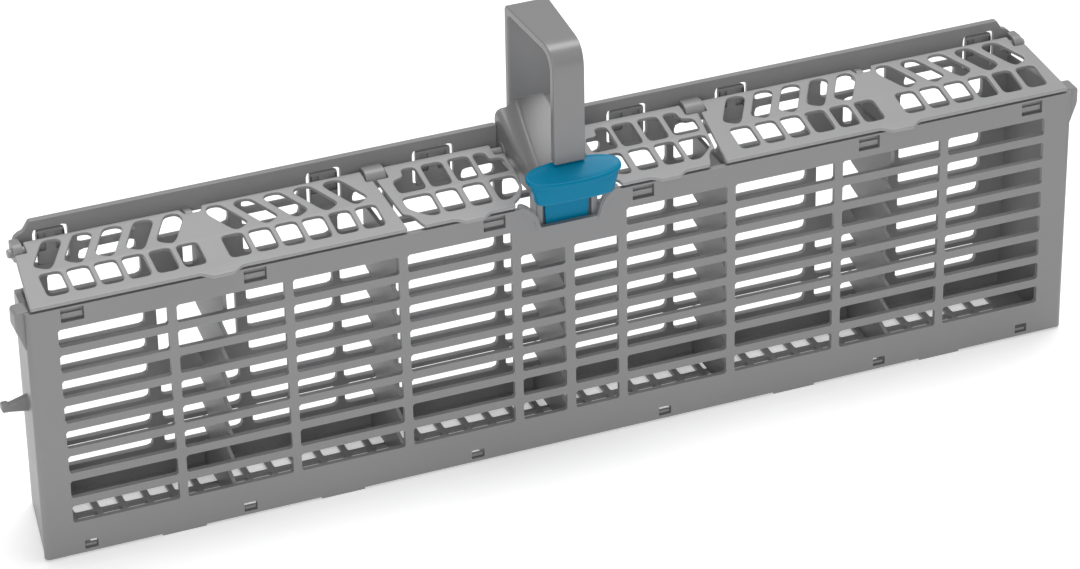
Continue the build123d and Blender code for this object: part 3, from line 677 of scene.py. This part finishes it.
def latchGuide():
    # upright channel, seen from above, in which the latch's tab runs
    field = [(-14.8, 2.7), (-11.8, 2.7), (-11.8, 5.2), (11.8, 5.2),
             (11.8, 2.7), (14.8, 2.7), (14.8, 11.4), (-14.8, 11.4)]
    low, high = handle["guideLow"], handle["guideHigh"]
    return plate(softCorners(field, 0.4, 3), [], high - low, 0.4, groundPlane(low))


def hingeBoss(side):
    # round boss for the inner pin of a narrow lid
    boss = handle["boss"]
    turn = np.linspace(0, 2 * np.pi, 28, endpoint=False)
    field = np.stack([body["hingeY"] + boss["radius"] * np.cos(turn),
                      body["hingeZ"] + boss["radius"] * np.sin(turn)], axis=-1)
    start = boss["from"] if side > 0 else -boss["to"]
    return plate(field, [], boss["to"] - boss["from"], 0.4, sidePlane(start))


assemble("handleLoop", [strapLoop(), *hood(), hoodBack(), latchGuide(), hingeBoss(-1), hingeBoss(1)],
         "handleGrey", "basket", ["handle"], sharp=50)

# latch: an oval dished button, its skirt, and the tab that runs in the guide
# each ring is half width, half depth, height and roundness: height over the sloping face in rings, and over
# the deck in skirt
latch = {"midY": -4.95, "level": 30.5, "slope": 0.3,
         "rings": ((0.01, 0.01, -0.5, 2.4), (12.0, 3.4, -0.5, 2.4), (18.6, 5.3, -0.45, 2.4),
                   (21.0, 6.2, -0.3, 2.4), (21.5, 6.45, -0.02, 2.4), (22.1, 6.8, 0.0, 2.4),
                   (22.6, 7.1, -0.25, 2.4), (22.9, 7.35, -0.8, 2.4), (22.9, 7.35, -1.7, 2.4),
                   (22.5, 7.1, -2.1, 2.5), (21.2, 6.5, -2.2, 3.0)),
         "skirt": ((20.9, 6.3, 24.9, 3.6), (20.6, 6.2, 24.0, 3.8), (19.0, 5.8, 17.2, 4.0),
                   (18.6, 5.5, 16.2, 4.0), (17.8, 5.0, 15.8, 4.0), (0.01, 0.01, 15.8, 4.0)),
         "skirtSlope": 0.3, "slopesAbove": 20.0,
         "pivot": (-11.6, 11.6, 1.7, 2.9, 13.6), "neck": (-11.2, 11.2, -1.0, 4.9, 15.4, 20.0)}


def ovalRings():
    # superellipse rings |x/a|^n + |y/b|^n = 1, from the middle of the top over the rim and down the skirt
    angle = np.linspace(0, 2 * np.pi, 96, endpoint=False)
    a, b, h, n = np.array(latch["rings"] + latch["skirt"]).T[:, :, None]
    x = a * np.sign(np.cos(angle)) * np.abs(np.cos(angle)) ** (2 / n)
    y = latch["midY"] + b * np.sign(np.sin(angle)) * np.abs(np.sin(angle)) ** (2 / n)
    sloping = (np.arange(len(a)) < len(latch["rings"]))[:, None]
    tilt = latch["level"] + latch["slope"] * y
    skirtTilt = latch["skirtSlope"] * (y - latch["midY"]) * (h > latch["slopesAbove"])
    z = np.where(sloping, tilt + h, h + skirtTilt)
    return gridMesh(inFrame(x, y, z), closed=True)


def latchTab():
    # flat tab under the button, wider where it meets the skirt
    field = [(-10.2, -6.0), (10.2, -6.0), (10.8, 9.6), (12.0, 10.6),
             (12.0, 17.0), (-12.0, 17.0), (-12.0, 10.6), (-10.8, 9.6)]
    return plate(softCorners(field, 0.8, 4), [], 2.0, 0.5, acrossPlane(2.9, 2.0), rounds=2)


assemble("latchButton", [ovalRings(), latchTab(), rod(*latch["pivot"]), block(*latch["neck"], edge=0.5)],
         "latchBlue", "latch", ["latch"], sharp=50)
print("new pieces made")


# floor and light
floorLook = {"half": 6.0, "tone": 0.82, "glow": 0.34}
fm = bpy.data.meshes.new("floor")
h = floorLook["half"]
fm.from_pydata([(-h, -h, 0), (h, -h, 0), (h, h, 0), (-h, h, 0)], [], [(0, 1, 2, 3)])
floor = bpy.data.objects.new("floor", fm)
bpy.context.scene.collection.objects.link(floor)
floorMat = bpy.data.materials.new("paleFloor")
floorMat.use_nodes = True
fs = floorMat.node_tree.nodes["Principled BSDF"]
fs.inputs["Base Color"].default_value = (floorLook["tone"], floorLook["tone"], floorLook["tone"], 1)
fs.inputs["Roughness"].default_value = 0.8
fs.inputs["Specular IOR Level"].default_value = 0.1
fs.inputs["Emission Color"].default_value = (1, 1, 1, 1)
fs.inputs["Emission Strength"].default_value = floorLook["glow"]
fm.materials.append(floorMat)

# the camera sees a white surround, while the part is lit by a softer one
surround = {"seen": 1.0, "lighting": 0.36}
world = bpy.data.worlds.new("studio")
bpy.context.scene.world = world
world.use_nodes = True
wt = world.node_tree
back = wt.nodes["Background"]
back.inputs["Color"].default_value = (1, 1, 1, 1)
seen = wt.nodes.new("ShaderNodeLightPath").outputs["Is Camera Ray"]
lift = mathNode(wt, "MULTIPLY", seen, surround["seen"] - surround["lighting"])
link(wt, mathNode(wt, "ADD", lift, surround["lighting"]), back.inputs["Strength"])
bpy.context.scene.view_settings.view_transform = "Standard"

lamps = {
    "topSoft": {"place": (0.5, 0.7, 3.8), "aim": (0, 0, 0.05), "size": 2.4, "power": 130.0},
    "frontKey": {"place": (-1.1, -2.7, 1.4), "aim": (0, 0, 0.08), "size": 1.2, "power": 30.0},
}
for name, lamp in lamps.items():
    data = bpy.data.lights.new(name, "AREA")
    data.shape = "SQUARE"
    data.size = lamp["size"]
    data.energy = lamp["power"]
    o = bpy.data.objects.new(name, data)
    bpy.context.scene.collection.objects.link(o)
    away = Vector(lamp["place"]) - Vector(lamp["aim"])
    o.matrix_world = Matrix.Translation(lamp["place"]) @ away.to_track_quat("Z", "Y").to_matrix().to_4x4()
print("stage and lights set")
